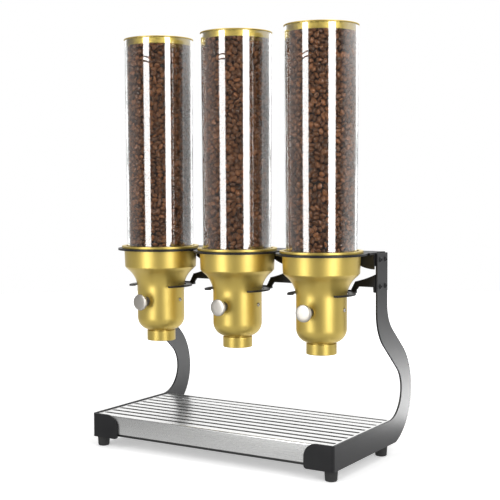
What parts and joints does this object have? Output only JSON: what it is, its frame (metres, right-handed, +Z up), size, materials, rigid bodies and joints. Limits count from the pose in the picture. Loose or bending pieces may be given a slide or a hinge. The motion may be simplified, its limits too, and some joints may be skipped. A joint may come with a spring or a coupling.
{
  "type": "gravity dry-food dispenser",
  "caption": "Counter-top gravity dispenser with clear tube canisters, gold funnels, sprung push knobs, a black sheet-metal stand and a slotted steel base.",
  "frame": {"origin": "centre of the bounding box on the plane the feet stand on", "axes": "+Z up, -Y towards the push knobs (front), +X to the right seen from the front"},
  "size_m": [0.449, 0.2748, 0.6662],
  "materials": {
    "black_powder_coat": "fine-textured satin black powder coat",
    "stainless": "bright fine-brushed stainless sheet",
    "gold_satin": "satin gold anodised",
    "knob_metal": "warm grey satin metal",
    "clear_acrylic": "clear polished acrylic",
    "dark_rubber": "matt black rubber",
    "inner_plastic": "dark moulded plastic",
    "spring_steel": "dark oiled steel",
    "roasted_bean": "satin dark roasted coffee beans, loose contents"
  },
  "bodies": {
    "stand": {"side_cheek_left": "black_powder_coat", "side_cheek_right": "black_powder_coat", "support_rail_left": "stainless", "support_rail_right": "stainless", "upper_bracket": "black_powder_coat", "lower_bracket": "black_powder_coat", "foot_front_left": "dark_rubber", "foot_rear_left": "dark_rubber", "foot_front_right": "dark_rubber", "foot_rear_right": "dark_rubber", "bracket_screw_upper_front_left": "black_powder_coat", "bracket_screw_upper_rear_left": "black_powder_coat", "bracket_screw_lower_front_left": "black_powder_coat", "bracket_screw_lower_rear_left": "black_powder_coat", "bracket_screw_upper_front_right": "black_powder_coat", "bracket_screw_upper_rear_right": "black_powder_coat", "bracket_screw_lower_front_right": "black_powder_coat", "bracket_screw_lower_rear_right": "black_powder_coat"},
    "cover": {"slotted_cover": "stainless"},
    "tray": {"crumb_tray": "stainless"},
    "canister_left": {"hopper_left": "gold_satin", "tube_seal_left": "dark_rubber", "throat_carrier_left": "inner_plastic", "guide_bush_left": "gold_satin", "carrier_screw_left": "knob_metal", "outlet_spout_left": "gold_satin"},
    "plunger_left": {"push_knob_left": "knob_metal", "shutter_rod_left": "spring_steel", "return_spring_left": "spring_steel"},
    "tube_unit_left": {"tube_left": "clear_acrylic"},
    "lid_unit_left": {"lid_left": "gold_satin"},
    "canister_middle": {"hopper_middle": "gold_satin", "tube_seal_middle": "dark_rubber", "throat_carrier_middle": "inner_plastic", "guide_bush_middle": "gold_satin", "carrier_screw_middle": "knob_metal", "outlet_spout_middle": "gold_satin"},
    "plunger_middle": {"push_knob_middle": "knob_metal", "shutter_rod_middle": "spring_steel", "return_spring_middle": "spring_steel"},
    "tube_unit_middle": {"tube_middle": "clear_acrylic"},
    "lid_unit_middle": {"lid_middle": "gold_satin"},
    "canister_right": {"hopper_right": "gold_satin", "tube_seal_right": "dark_rubber", "throat_carrier_right": "inner_plastic", "guide_bush_right": "gold_satin", "carrier_screw_right": "knob_metal", "outlet_spout_right": "gold_satin"},
    "plunger_right": {"push_knob_right": "knob_metal", "shutter_rod_right": "spring_steel", "return_spring_right": "spring_steel"},
    "tube_unit_right": {"tube_right": "clear_acrylic"},
    "lid_unit_right": {"lid_right": "gold_satin"}
  },
  "joints": [
    {"name": "cover_lift", "type": "slide", "parent": "stand", "child": "cover", "axis": [0, 0, 1], "range_m": [0, 0.09]},
    {"name": "tray_slide", "type": "slide", "parent": "stand", "child": "tray", "axis": [0, 1, 0], "range_m": [0, 0.2]},
    {"name": "canister_lift_left", "type": "slide", "parent": "stand", "child": "canister_left", "axis": [0, 0, 1], "range_m": [0, 0.16]},
    {"name": "tube_lift_left", "type": "slide", "parent": "canister_left", "child": "tube_unit_left", "axis": [0, 0, 1], "range_m": [0, 0.03]},
    {"name": "lid_lift_left", "type": "slide", "parent": "tube_unit_left", "child": "lid_unit_left", "axis": [0, 0, 1], "range_m": [0, 0.02]},
    {"name": "push_left", "type": "slide", "parent": "canister_left", "child": "plunger_left", "axis": [0, 1, 0], "range_m": [0, 0.011], "stiffness_N_per_m": 250, "springref_m": -0.008, "deforming": ["return_spring_left"]},
    {"name": "canister_lift_middle", "type": "slide", "parent": "stand", "child": "canister_middle", "axis": [0, 0, 1], "range_m": [0, 0.16]},
    {"name": "tube_lift_middle", "type": "slide", "parent": "canister_middle", "child": "tube_unit_middle", "axis": [0, 0, 1], "range_m": [0, 0.03]},
    {"name": "lid_lift_middle", "type": "slide", "parent": "tube_unit_middle", "child": "lid_unit_middle", "axis": [0, 0, 1], "range_m": [0, 0.02]},
    {"name": "push_middle", "type": "slide", "parent": "canister_middle", "child": "plunger_middle", "axis": [0, 1, 0], "range_m": [0, 0.011], "stiffness_N_per_m": 250, "springref_m": -0.008, "deforming": ["return_spring_middle"]},
    {"name": "canister_lift_right", "type": "slide", "parent": "stand", "child": "canister_right", "axis": [0, 0, 1], "range_m": [0, 0.16]},
    {"name": "tube_lift_right", "type": "slide", "parent": "canister_right", "child": "tube_unit_right", "axis": [0, 0, 1], "range_m": [0, 0.03]},
    {"name": "lid_lift_right", "type": "slide", "parent": "tube_unit_right", "child": "lid_unit_right", "axis": [0, 0, 1], "range_m": [0, 0.02]},
    {"name": "push_right", "type": "slide", "parent": "canister_right", "child": "plunger_right", "axis": [0, 1, 0], "range_m": [0, 0.011], "stiffness_N_per_m": 250, "springref_m": -0.008, "deforming": ["return_spring_right"]}
  ]
}
